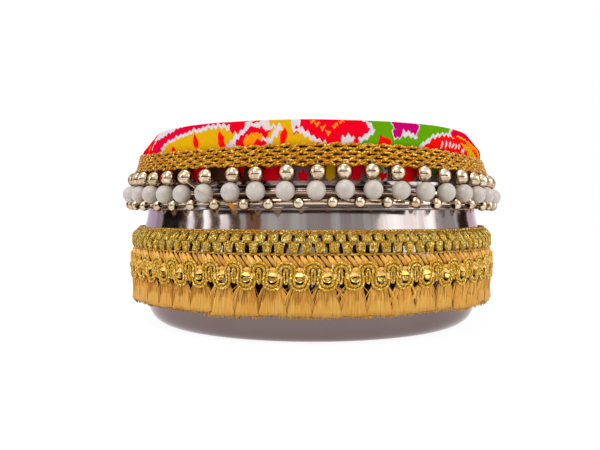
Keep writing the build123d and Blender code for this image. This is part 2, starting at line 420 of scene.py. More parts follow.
class Look:
    """A Principled material, with short ways to wire its nodes. Sizes are in millimetres."""

    def __init__(self, name, **values):
        self.material = bpy.data.materials.new(name)
        self.material.use_nodes = True
        self.tree = self.material.node_tree
        self.shader = self.tree.nodes["Principled BSDF"]
        for key, value in values.items():
            self.put(key.replace("_", " "), value)
        place = self.field("TexCoord", output="Object")
        self.place = self.field("VectorMath", {0: place, "Scale": 1 / MM}, operation="SCALE")

    def put(self, socket, value):
        join(self.tree, self.shader.inputs[socket], value)

    def show(self, shader):
        """Put another shader at the material's surface."""
        self.tree.links.new(shader.outputs[0], self.tree.nodes["Material Output"].inputs["Surface"])

    def node(self, kind, inputs=(), **settings):
        return add_node(self.tree, kind, inputs, **settings)

    def field(self, kind, inputs=(), output=0, **settings):
        return Field(self.tree, self.node(kind, inputs, **settings).outputs[output])

    def split(self, vector):
        return [Field(self.tree, socket) for socket in self.node("SeparateXYZ", {0: vector}).outputs]

    def combine(self, x=0.0, y=0.0, z=0.0):
        return self.field("CombineXYZ", {0: x, 1: y, 2: z})

    def mix(self, factor, first, second):
        return self.field("Mix", {0: factor, 6: first, 7: second}, output=2, data_type="RGBA")

    def noise(self, size, vector=None, detail=2.0):
        inputs = {"Vector": vector or self.place, "Scale": 1 / size, "Detail": detail}
        return self.field("TexNoise", inputs)

    def relief(self, height, distance, strength):
        """Fine relief of the surface, this high."""
        inputs = {"Height": height, "Distance": distance * MM, "Strength": strength}
        self.put("Normal", self.field("Bump", inputs))

    def turned_place(self):
        """Arc length round the axis, radius and height."""
        x, y, z = self.split(self.place)
        radius = self.field("VectorMath", {0: self.combine(x, y)}, output="Value", operation="LENGTH")
        return x.calc("ARCTAN2", y * -1.0) * 90.0, radius, z


def steel_look():
    look = Look("steel", Metallic=1.0, Specular_Tint=(0.9, 0.86, 0.88))
    arc, radius, z = look.turned_place()
    # Light vertical streaks on the neck, above the belly: painted reflections
    painted_reflection_streaks = look.noise(7.0, look.combine(arc, z * 0.03), 3.0)
    broad = look.noise(26.0, look.combine(arc, z * 0.05), 1.0)
    tone = look.mix(broad.ramp(0.35, 0.65), (0.205, 0.165, 0.158), (0.270, 0.234, 0.227))
    tone = look.mix(painted_reflection_streaks.ramp(0.45, 0.62) * z.ramp(40.0, 48.0), tone, (0.33, 0.30, 0.29))
    # Painted shade: the belly is darker towards the foot, where it mirrors the shadowed floor, and the hem of the lid
    # gets painted shade in its grooves and painted highlights on its ridges
    tone = look.mix(z.ramp(34.0, 18.0, 0.0, 0.85), tone, (0.182, 0.134, 0.126))
    on_hem = z.ramp(58.5, 58.8) * z.ramp(66.5, 65.5) * radius.ramp(85.2, 85.6)
    hem_shade_and_highlight = look.mix(radius.ramp(86.2, 87.3), (0.07, 0.030, 0.018), (0.68, 0.55, 0.44))
    tone = look.mix(on_hem, tone, hem_shade_and_highlight)
    # The inside is a lighter steel tone than the outside: the walls that face the axis, the box's
    # floor and the lid's ceiling
    level, floor_top, ceiling_low = 0.3, 20.0, 84.0
    normal_x, normal_y, normal_z = look.split(look.field("TexCoord", output="Normal"))
    x, y, _ = look.split(look.place)
    walls = normal_x * x + normal_y * y < -20.0
    floor = (normal_z > level) * (z < floor_top)
    ceiling = (normal_z < -level) * (z > ceiling_low)
    inside = walls.calc("MAXIMUM", floor.calc("MAXIMUM", ceiling))
    look.put("Base Color", look.mix(inside, tone, (0.56, 0.52, 0.50)))
    look.put("Roughness", look.noise(9.0, detail=4.0).ramp(0.3, 0.7, 0.06, 0.14))
    turning = look.combine(arc * 0.02, z, radius)
    look.relief(look.noise(0.22, turning, 2.0), 0.012, 0.3)
    return look.material


CRIMSON = (0.84, 0.0, 0.014)
ROSE = (0.74, 0.0, 0.038)
SCARLET = (0.89, 0.004, 0.002)
MUSTARD = (0.72, 0.40, 0.003)
ORANGE = (0.95, 0.28, 0.004)
GREEN = (0.105, 0.35, 0.002)
MAGENTA = (0.56, 0.0, 0.15)
PALE = (0.70, 0.64, 0.67)
# Dark mauve and brown: painted shade for the cloth under the braid
PAINTED_SHADE_MAUVE = (0.17, 0.12, 0.13)
PAINTED_SHADE_BROWN = (0.055, 0.026, 0.014)

# Motifs of the ikat print: colour, centre across and down the cloth, half width, half height,
# turn in degrees and corner power (1 a diamond, 2 an ellipse, 4 nearly a box), or else 0 and 2
CROWN_MOTIFS = [
    (PALE, 0, 0, 15, 20, 0, 1), (MUSTARD, 0, 0, 13, 17.5, 0, 1),
    (CRIMSON, 0, 0, 9.5, 12.5, 0, 1.2), (PALE, 0, 0, 6, 8, 0, 1),
    (GREEN, 0, 0, 4.5, 6.2, 0, 1), (ORANGE, 0, 0, 1.6, 3, 0, 1),
    (GREEN, 17, 0, 3.6, 7, 0, 1.4), (GREEN, -17, 0, 3.6, 7, 0, 1.4),
    (ORANGE, 0, 22, 2.4, 2.6, 0, 1), (ORANGE, 0, -22, 2.4, 2.6, 0, 1),
]
FRONT_MOTIFS = [
    # Left: a pale patch, the red band and the mustard field with its red dashes
    (PALE, -60, 44.4, 21, 8.6, 30, 2.4), (SCARLET, -83, 38, 3.2, 14, 26, 2),
    (PALE, -77.4, 41, 0.6, 5.5, 20, 2), (PALE, -79.4, 44.5, 0.5, 3.5, 24, 2),
    (ORANGE, -82.5, 41, 0.7, 2.6, 22, 1.4),
    (PALE, -60, 81.6, 25.8, 18.1, 27, 5), (MUSTARD, -60.4, 82.6, 24.6, 16.6, 27, 5),
    (PALE, -73.4, 69.4, 3.2, 3),
    (ORANGE, -67.2, 67.2, 1.9, 3.6, 0, 1.3), (SCARLET, -67.2, 67.4, 1.3, 2.9, 0, 1.3),
    (ORANGE, -53.7, 74.7, 1.9, 5.8, 0, 1.3), (SCARLET, -53.6, 74.9, 1.5, 5, 0, 1.4),
    (ORANGE, -40.9, 82.6, 2, 6, 0, 2.4), (SCARLET, -40.8, 82.9, 1.5, 5.3, 0, 2.4),
    (CRIMSON, -31.6, 76, 4.6, 5.6),
    (PALE, -31.8, 82.4, 9.6, 1.3, -38, 3), (PALE, -37, 90.5, 1.4, 5, 0, 2.4),
    # The cluster between two white diagonals
    (CRIMSON, -28, 91, 7.8, 5.5),
    (PALE, -22.8, 78.3, 6.2, 4.2, 10, 2.4), (CRIMSON, -23.6, 76.3, 2.4, 1.3),
    (PALE, -18.3, 85.6, 6, 5.2, -30, 3), (PALE, -18.2, 88.4, 5, 2, -38, 3),
    (CRIMSON, -29.6, 85.2, 1.9, 2.2),
    (CRIMSON, -26.2, 81.4, 2.1, 2.2), (CRIMSON, -23.2, 83.6, 2.3, 2.5),
    (CRIMSON, -20.8, 86.2, 2.4, 2.5), (CRIMSON, -17.4, 85, 2.7, 0.9, -24, 1.6),
    (ORANGE, -26, 87.8, 4.6, 4.4, -30, 2), (CRIMSON, -23.8, 90.6, 1.9, 2.6),
    (CRIMSON, -28.6, 91.8, 2.8, 1.9), (CRIMSON, -20.8, 91.6, 1.5, 1.4),
    # The second mustard field with its lozenge, and the green field on the right
    (MUSTARD, -13.6, 90, 5.4, 6.2, -14, 2.6), (MUSTARD, -10.6, 86, 2.9, 10, 0, 6),
    (ORANGE, -12, 90.2, 2, 6, 6, 2.4), (SCARLET, -12, 90.4, 1.4, 5.4, 6, 2.4),
    (MUSTARD, -3.2, 95, 8.4, 6.2, 10, 2.6),
    (PALE, -15.7, 83.3, 3.8, 1.6, 34, 3), (PALE, -17, 89.7, 5.6, 1.4, -51, 3),
    (PALE, 44, 62, 20.5, 40, 10, 4), (GREEN, 44.6, 62, 18.6, 38.6, 10, 4),
    (GREEN, 32, 84, 14, 13, 0, 4),
    # The big red figure, outlined in steps, with its sprinkle of stars
    (PALE, 9.8, 82.4, 18.4, 15.2, 0, 1.4), (CRIMSON, 9.9, 82, 15.8, 12.9, 0, 1.4),
    (MUSTARD, -13.4, 74, 4.8, 9, 0, 6), (PALE, -6.6, 78.5, 2, 9.2, 0, 4),
    (CRIMSON, -6.3, 85.4, 0.9, 1.1, 0, 1.2),
    (ORANGE, 0.6, 81.8, 1.4, 1.3, 0, 1), (ORANGE, 2.8, 83.3, 1.4, 1.4, 0, 1),
    (ORANGE, 5.1, 85.5, 1.4, 1.5, 0, 1), (ORANGE, 7.5, 88.2, 1.4, 1.5, 0, 1),
    (ORANGE, 10.5, 84.2, 1.5, 1.5, 0, 1), (ORANGE, 13, 81.2, 1.4, 1.3, 0, 1),
    (PALE, 17.4, 92.2, 4.2, 4, 0, 1.6), (CRIMSON, 20.2, 91, 1.2, 2.2),
    # The magenta shield and the red square
    (SCARLET, 33.2, 87, 3, 3.6, 0, 6),
    (PALE, 42, 70, 6.7, 8.3, 16, 2.4), (MAGENTA, 42, 70, 6.2, 8, 16, 2.4),
    (PALE, 44.2, 77.4, 4.6, 2.8, -32, 2.4), (GREEN, 45.8, 81.2, 5.6, 3.6, -36, 2.4),
    (PALE, 38.6, 78.6, 2.6, 4.6, 12, 1.5), (MAGENTA, 38.8, 78, 2.3, 4.3, 12, 1.5),
    # The pointed red leaf along the braid, with its white strokes, and the bright right edge
    (PALE, 68, 66.8, 28, 9.4, -50, 1.7), (SCARLET, 68.6, 67.2, 27.2, 8.5, -50, 1.6),
    (PALE, 61.8, 69.8, 0.6, 2.5), (PALE, 64, 67.9, 0.6, 2.5),
    (PALE, 66.2, 65.6, 0.6, 2.5), (PALE, 68.2, 63.2, 0.6, 2.4),
    (PALE, 70.2, 60.6, 0.6, 2.3), (PALE, 72.1, 57.9, 0.7, 2.2),
    (PALE, 75.8, 57, 1.5, 1.8, 0, 1.2),
    (MUSTARD, 84, 42, 16, 5.4, -40, 4), (SCARLET, 78, 45.6, 15, 2, -40, 3),
    (ORANGE, 82, 42.2, 7, 1.3, -40, 2), (SCARLET, 87, 39, 7, 0.8, -40, 3),
    # Below the braid, where braid and beads shade the cloth: painted shade in dark mauve and brown, with bits of
    # print
    (PAINTED_SHADE_MAUVE, 0, 108.4, 40, 6.8, 0, 6), (PAINTED_SHADE_BROWN, -44, 97, 26, 6.8, 28, 5),
    (PAINTED_SHADE_MAUVE, 44, 97, 26, 6.8, -28, 5), (PAINTED_SHADE_BROWN, -86, 64, 30, 8, 52, 5),
    (PAINTED_SHADE_MAUVE, 86, 64, 30, 8, -52, 5),
    (PAINTED_SHADE_BROWN, -108.4, 0, 6.8, 44, 0, 6), (PAINTED_SHADE_MAUVE, 108.4, 0, 6.8, 44, 0, 6),
    (CRIMSON, -106, 24, 4.4, 5, 0, 2.4), (CRIMSON, 106, 20, 4.4, 5, 0, 2.4), (MUSTARD, 105.6, 3, 4, 3.6, 0, 1.6),
    (CRIMSON, -20, 105.2, 5.4, 3.2, 0, 4), (CRIMSON, -4, 107.4, 2.6, 2.4),
    (MUSTARD, 10, 105.4, 2.4, 4.2, 0, 2.4), (CRIMSON, 21.5, 102.4, 4.6, 4.2, 14, 3),
    (PALE, 34.6, 101.6, 5.2, 5, 14, 2.4), (GREEN, 32.6, 99.2, 4.8, 3, 14, 2.4),
    (CRIMSON, 37.2, 100.6, 2.4, 1.9, 16, 1.6), (SCARLET, 50.4, 92.8, 4.2, 4.6, 28, 3),
    (CRIMSON, -37.4, 98, 4.6, 3.4, -20, 2.4), (CRIMSON, -58, 87, 5, 3.6, -32, 2.4),
    (GREEN, 66, 80, 5, 4, 36, 2.4), (CRIMSON, 80, 66, 5, 4, 44, 2.4),
    (CRIMSON, -78, 70, 6, 4, -44, 2.4),
]
crown_tile = (40.0, 50.0)
crown_print_radius = 74.0
spike_pitch = 2.5
spike_height = 2.0
yarn_pitch = 0.34


def motif_group():
    """A node group that says whether a point of the cloth lies in a motif."""
    tree = bpy.data.node_groups.new("motif", "ShaderNodeTree")
    names = ("Across", "Down", "Centre across", "Centre down", "Half width", "Half height",
             "Cosine", "Sine", "Power")
    for name in names:
        tree.interface.new_socket(name, in_out="INPUT", socket_type="NodeSocketFloat")
    tree.interface.new_socket("Inside", in_out="OUTPUT", socket_type="NodeSocketFloat")
    given = tree.nodes.new("NodeGroupInput").outputs
    across, down, centre_across, centre_down, half_width, half_height, cosine, sine, power = (
        Field(tree, given[name]) for name in names)
    across, down = across - centre_across, down - centre_down
    along = across * cosine + down * sine
    over = down * cosine - across * sine
    total = abs(along / half_width) ** power + abs(over / half_height) ** power
    join(tree, tree.nodes.new("NodeGroupOutput").inputs["Inside"], total < 1.0)
    return tree


def ikat_look():
    look = Look("ikat_fabric", Roughness=0.7, Specular_IOR_Level=0.0)
    x, y, z = look.split(look.place)
    radius = look.turned_place()[1]
    # The cloth lies flat over the crown and bends down over the shoulder and the side
    shoulder_share = 0.49
    fall = (cover_top - z).calc("MAXIMUM") * shoulder_share
    side = (cover_side_top - z).calc("MAXIMUM") * (1 - shoulder_share)
    developed = radius + (fall + side)
    stretch = developed / radius.calc("MAXIMUM", 1.0)
    across, down = x * stretch, abs(y * stretch)
    # Warps dyed in bundles: the print runs out in spikes and slips up and down with its threads
    spike = across.calc("PINGPONG", spike_pitch / 2) / (spike_pitch / 2)
    bundle = (across / spike_pitch).calc("FLOOR")
    slip = look.field("TexWhiteNoise", {"Vector": look.combine(bundle, 3.0)}, noise_dimensions="2D")
    wave = look.noise(5.0, look.combine(bundle, down * 0.05), 1.0)
    brush = look.noise(1.0, look.combine(across * 3.2, down * 0.1), 2.0)
    shift = (spike - 0.5) * (slip + 0.45) * spike_height
    shift = shift + (slip - 0.5) * 1.3 + (wave - 0.5) * 1.4 + (brush - 0.5) * 2.4
    down = down + shift
    wander = look.noise(3.0, look.combine(0.0, down, 5.0), 1.0)
    across = across + (wander - 0.5) * 0.8
    group = motif_group()

    def paint(colour, motifs, u, v):
        for tint, centre_u, centre_v, half_width, half_height, *form in motifs:
            turn, power = form or (0, 2)
            turn = math.radians(turn)
            values = (u, v, centre_u, centre_v, half_width, half_height, math.cos(turn), math.sin(turn), power)
            inside = look.field("Group", enumerate(values), node_tree=group)
            colour = look.mix(inside, colour, tint)
        return colour

    def wrapped(value, period):
        return (value + period / 2).calc("FLOORED_MODULO", period) - period / 2

    colour = paint(ROSE, CROWN_MOTIFS, wrapped(across, crown_tile[0]), wrapped(down, crown_tile[1]))
    colour = look.mix(developed < crown_print_radius, ROSE, colour)
    colour = paint(colour, FRONT_MOTIFS, across, down)
    # Threads of unlike dye, and the fine plain weave
    yarn = look.noise(0.5, look.combine(across * 2.0, down * 0.1), 2.0)
    colour = look.mix(yarn.ramp(0.35, 0.7, 0.0, 0.12), colour, (0.35, 0.02, 0.02))
    look.put("Base Color", colour)
    yarn_turn = 2 * math.pi / yarn_pitch
    weave = (across * yarn_turn).calc("SINE") * (down * yarn_turn).calc("SINE")
    look.relief(weave, 0.04, 0.5)
    return look.material


def metal_thread_look(name, dark, light, painted_glint, size, roughness, metallic, valley=None):
    """Metallic thread: painted shade between the fibres, with painted glints on small facets. A valley
    is the pair of radii between which the trim goes from painted deep shade to full colour."""
    look = Look(name, Metallic=metallic, Specular_IOR_Level=0.12)
    fibre = look.noise(size, detail=4.0)
    cells = look.field("TexVoronoi", {"Vector": look.place, "Scale": 1 / (size * 1.3)}, output="Color")
    facet = look.split(cells)[0]
    colour = look.mix(fibre.ramp(0.36, 0.62), dark, light)
    colour = look.mix(facet.ramp(0.74, 0.95), colour, painted_glint)
    if valley:
        radius = look.turned_place()[1]
        colour = look.mix(radius.ramp(valley[1], valley[0]), colour, (0.045, 0.022, 0.004))
    look.put("Base Color", colour)
    look.put("Roughness", facet.ramp(0.0, 1.0, roughness + 0.12, roughness - 0.1))
    look.relief(fibre + facet * 0.6, size * 0.5, 0.8)
    return look.material


def silk_look(name, shade):
    """Spun silk. Strands of a shade below 1 are darker and browner."""
    look = Look(name, Roughness=0.55, Specular_IOR_Level=0.12)

    def tone_of(red, green, blue):
        return red * shade, 0.98 * green * shade**1.15, 0.84 * blue * shade**1.4

    arc, _, z = look.turned_place()
    strand = look.noise(0.55, look.combine(arc, z * 0.07), 3.0)
    patch = look.noise(9.0, look.combine(arc, z * 0.4), 1.0)
    tone = look.mix(patch.ramp(0.35, 0.65), tone_of(0.78, 0.38, 0.07), tone_of(0.82, 0.45, 0.10))
    tone = look.mix(strand.ramp(0.52, 0.74), tone, tone_of(0.94, 0.62, 0.22))
    tone = look.mix(strand.ramp(0.45, 0.28), tone, tone_of(0.48, 0.22, 0.03))
    look.put("Base Color", tone)
    look.relief(strand, 0.12, 0.6)
    return look.material


def patchy_look(name, tones, patch, sheen, relief, **values):
    """Two tones in patches. Patch, sheen and relief each start with the size and detail of a noise,
    then say the stretch of it that counts, the roughness it gives, or its height and strength."""
    look = Look(name, **values)
    noises = [look.noise(size, detail=detail) for size, detail, *_ in (patch, sheen, relief)]
    look.put("Base Color", look.mix(noises[0].ramp(*patch[2:]), *tones))
    look.put("Roughness", noises[1].ramp(*sheen[2:]))
    look.relief(noises[2], *relief[2:])
    return look.material


def plain_thread_look(name, dark, light):
    look = Look(name, Roughness=0.7, Specular_IOR_Level=0.2)
    look.put("Base Color", look.mix(look.noise(0.4), dark, light))
    return look.material


# Steel shells

def steel_piece(name, corners, body, node):
    profile = spread(rounded(corners), 6.0)
    make_piece(name, lathe(profile), body, [node], "steel", steel)


def steel_box():
    wall = steel_wall
    outer = [
        (0, 0, 0), (foot_corner_radius, 0, foot_round), (belly_radius, belly_height, belly_round),
        (neck_radius, neck_foot_height, neck_foot_round), (neck_radius, rim_height, rim_round),
    ]
    inner = [
        (neck_radius - wall, rim_height, rim_round), (neck_radius - wall, neck_foot_height, neck_foot_round + wall),
        (belly_radius - wall, belly_height, belly_round - wall), (foot_corner_radius - wall, wall, foot_round - wall),
        (0, wall, 0),
    ]
    steel_piece("steel_box", outer + inner, "box", "body_shell")


def steel_lid():
    wall = steel_wall
    outer = [
        (0, lid_top, 0), (crown_edge_radius, lid_top, 3), (lid_radius, shoulder_height, 3),
        (lid_radius, groove_height + 1.9, 0.8), (groove_radius, groove_height + 0.3, 0.5),
        (groove_radius + 0.4, groove_height - 0.1, 0.3), (crest_radius, crest_height + 0.6, 0.4),
        (crest_radius, crest_height - 0.5, 0.4),
        (ridge_neck_radius, ridge_neck_height + 0.4, 0.6), (ridge_neck_radius, ridge_neck_height - 0.6, 0.6),
        (roll_radius, roll_height + 1.0, 0.8), (roll_radius, roll_height - 1.0, 0.9),
        (lip_radius - 0.5, hem_height + 1.6, 0.3), (lip_radius, hem_height + 0.9, 0.3),
        (lip_radius, hem_height, 0.3),
    ]
    bore, groove_bore = lid_radius - wall, groove_radius - wall
    inner = [
        (bore, hem_height, 0.2), (bore, crest_height - 0.2, 1), (groove_bore, groove_height - 0.6, 0.3),
        (groove_bore, groove_height + 0.2, 0.5), (bore, groove_height + 2.3, 0.8),
        (bore, shoulder_height - 0.4, 2.4), (crown_edge_radius - 0.4, lid_top - wall, 2.4), (0, lid_top - wall, 0),
    ]
    steel_piece("steel_lid", outer + inner, "lid", "lid_shell")


# Fabric cover

def fabric_cover():
    outer = np.array(spread(rounded([
        (0, cover_top - 0.1, 0), (45, cover_top - 0.4, 60), (70, 96.3, 40), (79.6, 95.0, 4),
        (cover_radius + 0.1, 85.6, 3.4), (cover_radius, cover_edge_height + 0.6, 0),
        (cover_radius - 0.2, cover_edge_height, 0),
    ]), 2.0))
    # The under side follows the outer face one cloth thickness inside
    along = unit(np.gradient(outer, axis=0))
    under = outer + np.stack([along[:, 1], -along[:, 0]], -1) * cover_thickness
    under[:, 0] = np.maximum(under[:, 0], 0)
    under[0] = (0, outer[0][1] - cover_thickness)
    points, faces = lathe(np.concatenate([outer, under[::-1]]), cover_sides)
    radius = np.hypot(points[:, 0], points[:, 1])
    weight = np.clip((radius - 70) / 12, 0, 1) * np.clip((points[:, 2] - 71) / 12, 0, 1)
    push = ripple(angle_of(points), points[:, 2], 1.0) * weight * cover_ripple
    points[:, :2] *= (1 + push / np.maximum(radius, 1))[:, None]
    # The padding is slack on the right of the crown
    to_right = np.maximum(points[:, 0], 0)
    slack = crown_slack * to_right**2 / (to_right + 15) * np.clip((slack_edge - radius) / 12, 0, 1)
    points[:, 2] += push * 0.8 - slack
    piece = make_piece("fabric_cover", (points, faces), "lid", ["lid_cover"], "ikat_fabric", ikat)


# Braid

def woven_braid():
    shapes = Shapes()
    angle = once_round(braid_eyes * 8)
    top = braid_top_line + sag(angle) + droop(angle)
    bottom = braid_bottom_line + bottom_sag_share * (sag(angle) + droop(angle))
    for row in range(braid_rows):
        share = (row + 0.5) / braid_rows
        eye = np.radians(angle) * braid_eyes / 2 + math.pi * (row % 2)
        slow = ripple(angle, row * 9.0, row)
        height = bottom + (top - bottom) * (share + np.cos(eye) * 0.22 / braid_rows) + slow * 0.16
        radius = braid_inner_radius + 0.75 + (1 - share) * braid_flare + np.cos(eye * 2) * 0.12 + slow * 0.10
        shapes.add_cord(around(radius, angle, height), braid_lay, braid_ply, braid_twists, sides=6)
    make_piece("woven_braid", shapes, "lid", ["lid_braid"], "antique_gold_braid", antique_gold)
    # A dark ring behind the braid: painted shade, seen through its eyes
    inner = braid_inner_radius + 0.05
    points, faces = lathe([
        (inner + braid_flare, braid_bottom_line + 0.5), (inner + 0.35 + braid_flare, braid_bottom_line + 0.6),
        (inner + 0.35, braid_top_line - 0.6), (inner, braid_top_line - 0.7),
    ])
    angle = angle_of(points)
    upper = points[:, 2] > (braid_top_line + braid_bottom_line) / 2
    points[:, 2] += (sag(angle) + droop(angle)) * np.where(upper, 1, bottom_sag_share)
    make_piece("braid_shade_ring", (points, faces), "lid", ["lid_braid"], "antique_gold_braid", braid_shade)


# Beads

def bead_shape(hole_share, seam, rings=22, sides=26):
    """A ball of radius 1 with a drilled hole along Z and a fine seam round its middle."""
    edge = math.asin(hole_share)
    turn = np.linspace(-math.pi / 2 + edge, math.pi / 2 - edge, rings)
    radius = 1 - seam * np.exp(-((turn / 0.05) ** 2))
    profile = np.stack([np.cos(turn) * radius, np.sin(turn) * radius], -1)
    lip = [(hole_share * 0.92, profile[-1][1] - 0.1), (hole_share * 0.92, profile[0][1] + 0.1)]
    return lathe(np.concatenate([profile, lip]), sides)


def add_bead(shapes, shape, size, turn, place, tint=0):
    shapes.add((shape[0] * size, shape[1]), turn, around(*place), tint)


def bead_fringe():
    gold_shapes, pearl_shapes, small_shapes, threads = Shapes(), Shapes(), Shapes(), Shapes()
    gold_shape, pearl_shape = bead_shape(0.16, 0.012), bead_shape(0.13, 0.0)
    small_rings, small_sides = 16, 20
    small_shape = bead_shape(0.48, 0.015, small_rings, small_sides)
    # The lining of each small bead's hole takes a near-black look: painted shade
    hole_tints = [0] * (small_rings - 1) * small_sides + [1] * 3 * small_sides
    step = 360 / bead_columns
    centres = []
    for column in range(bead_columns):
        angle = front_pearl_angle + column * step + vary(-0.35, 0.35)
        gold_angle = angle + vary(-0.5, 0.5)
        small_angle = angle + step / 2 + vary(-0.6, 0.6)
        gold_z = gold_height + 0.3 + sag(angle) + 0.35 * droop(angle) + vary(-0.2, 0.2)
        pearl_z = pearl_height + 0.2 + sag(angle) * 0.75 + 0.3 * droop(angle) + vary(-0.15, 0.15)
        small_z = small_height + 0.4 + sag(small_angle) * 0.6 + vary(-0.25, 0.25)
        centres.append((angle, pearl_z - pearl_radius, small_angle, small_z))
        roll = vary(-12, 12, 3)
        add_bead(gold_shapes, gold_shape, gold_radius * vary(0.99, 1.03),
                 turned_to(gold_angle, roll), (gold_ring, gold_angle, gold_z))
        add_bead(pearl_shapes, pearl_shape, pearl_radius * vary(0.99, 1.02),
                 turned_to(angle, roll * 0.5), (pearl_ring, angle, pearl_z))
        add_bead(small_shapes, small_shape, small_radius * vary(0.97, 1.02),
                 turned_to(small_angle, (0, 90 + roll[1] * 2, 0)), (pearl_ring, small_angle, small_z),
                 hole_tints)
        top = gold_z + gold_radius
        stations = ((-1.6, 1.6), (-0.5, 1.1), (0.0, -0.4), (0.2, -2.0))
        threads.add(thread([(gold_ring + out, gold_angle, top + up) for out, up in stations], bead_loop_radius))
        threads.add(thread([
            (gold_ring + 0.9, gold_angle, gold_z - gold_radius + 1),
            (pearl_ring - 0.9, angle, pearl_z + pearl_radius - 1)], thread_radius))
    for index, (angle, pearl_low, small_angle, small_z) in enumerate(centres):
        next_angle, next_low = centres[(index + 1) % bead_columns][:2]
        next_angle += 360 if index == bead_columns - 1 else 0
        stations = (
            (angle, pearl_low + 1.0), (angle + 0.9, pearl_low + 0.1),
            (small_angle - 1.9, small_z + 0.25), (small_angle, small_z - 0.1), (small_angle + 1.9, small_z + 0.25),
            (next_angle - 0.9, next_low + 0.1), (next_angle, next_low + 1.0),
        )
        threads.add(thread([(pearl_ring, *station) for station in stations], thread_radius))
    # A loose end of thread across the left of the fringe, with its tuft of orange fuzz
    threads.add(thread([
        (97.2, -35.4, 70.6), (98.4, -31.5, 68.2), (98.2, -27.5, 64.0), (97.4, -24.0, 60.9), (95.4, -21.0, 58.8),
    ], 0.2, sides=5))
    for _ in range(fuzz_strands):
        start = np.array((-20.6, 59.6)) + random.normal(0, (0.35, 0.5))
        end = start + (vary(0.2, 1.9), vary(-3.2, -0.6))
        stations = [(94.6, *start), (95.2, *(start + end) / 2), (94.8, *end)]
        threads.add(thread(stations, 0.12, sides=4), tint=1)
    make_piece("gold_bead_row", gold_shapes, "lid", ["gold_beads"], "gold_bead", gold)
    make_piece("pearl_row", pearl_shapes, "lid", ["pearl_beads"], "pearl", pearl)
    make_piece("small_gold_bead_row", small_shapes, "lid", ["small_gold_beads"], "gold_bead", gold, bead_hole_shade)
    make_piece("fringe_threads", threads, "lid", ["bead_threads"], "thread", plain_thread, fuzz)


# Lace

def lace_cords():
    angle = once_round(cord_steps)
    shapes = Shapes()
    for offset, height in ((0.3, 0.45), (0.9, -0.45)):
        path = around(top_cord_radius + offset, angle, top_cord_height + height + ripple(angle, height, 3) * 0.12)
        shapes.add_cord(path, 0.40, 0.44, cord_twists)
    make_piece("lace_top_cord_twist", shapes, "box", ["lace_top_cord"], "tinsel", orange_cord)
    shapes = Shapes()
    path = around(face_radius - 0.1, angle, mid_cord_height + ripple(angle, 0, 4) * 0.12)
    shapes.add_cord(path, 0.28, 0.32, cord_twists)
    make_piece("lace_mid_cord_twist", shapes, "box", ["lace_mid_cord"], "tinsel", orange_cord)


def tuft(width, top_width, height, depth, strands):
    """A wound block of tinsel: a lumpy core with loose strands over it, facing -Y."""
    shapes = Shapes()
    rows, sides = 7, 10
    up = np.linspace(-0.5, 0.5, rows)[:, None]
    turn = once_round(sides, 2 * np.pi)
    pinch = 1 - 0.9 * np.abs(up * 2) ** 8
    half = (width + (top_width - width) * (up + 0.5)) / 2 * pinch * 0.92
    lump = 1 + vary(-0.08, 0.08, (rows, sides))
    x = half * np.sign(np.cos(turn)) * np.abs(np.cos(turn)) ** 0.6 * lump
    y = depth / 2 * np.sin(turn) * lump * pinch * 0.85
    shapes.add(ring_stack(x, y, up * height + 0 * x, inside_out=True))
    for _ in range(strands):
        start, end = vary(-0.5, 0.5, 2)
        share = np.linspace(0, 1, 6)
        local = width + (top_width - width) * (1 - share)
        x = (start + (end - start) * share) * local + vary(-0.12, 0.12, 6)
        bulge = np.sin(np.pi * share) ** 0.5
        y = -depth / 2 * (0.55 + 0.5 * bulge) * np.sqrt(np.clip(1.15 - (x / (top_width * 0.62)) ** 2, 0.1, 1))
        z = (0.5 - share) * height * vary(0.92, 1.06) + vary(-0.08, 0.08, 6)
        y = y + vary(-0.1, 0.1, 6)
        shapes.add(small_tube(x, y, z, 0.19, 0.12, sides=4))
    return shapes.merged()


def lace_blocks():
    kinds, strands = 9, 24
    block_count = wave_count * blocks_per_wave
    rows = (
        ("upper", 4.1, 4.7, 4.7, 2.1, 38.0, 0.0, upper_block_height, face_radius - 0.8),
        ("lower", 3.4, 5.0, 5.0, 2.0, 2.0, 0.5, lower_block_height + 0.2, face_radius),
    )
    for name, width, top_width, height, depth, lean, half, level, radius in rows:
        made = [tuft(width, top_width, height, depth, strands) for _ in range(kinds)]
        shapes = Shapes()
        for index in range(block_count):
            points, faces = made[random.integers(kinds)]
            angle = front_sequin_angle + (index + half) * (360 / block_count) + vary(-0.12, 0.12)
            turn = turned_to(angle, (-lean + vary(-3, 3), vary(-5, 5), 0))
            shapes.add((points, [[face] for face in faces]), turn, around(radius, angle, level))
        make_piece(f"lace_{name}_tufts", shapes, "box", [f"lace_{name}_blocks"], "tinsel", tinsel)


